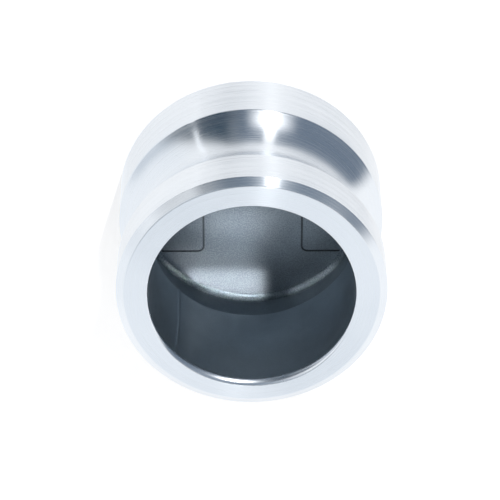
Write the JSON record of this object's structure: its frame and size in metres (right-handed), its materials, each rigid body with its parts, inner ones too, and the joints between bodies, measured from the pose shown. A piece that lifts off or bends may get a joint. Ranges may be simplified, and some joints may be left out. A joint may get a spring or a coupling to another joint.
{
  "type": "cam and groove dust plug",
  "caption": "Round closed plug with a male cam groove nose and an open hollow, which seals a cam and groove coupler against dust.",
  "frame": {"origin": "centre of the closed end's outer face, on the surface that the plug stands on", "axes": "+Z along the plug's axis and out of its mouth; +X and -X point to the two panels on the inner end wall"},
  "size_m": [0.0534, 0.0534, 0.0378],
  "materials": {
    "stainless": "turned outside with fine rings, left as cast and blasted inside"
  },
  "bodies": {
    "root": {"plug_body": "stainless"}
  },
  "joints": []
}
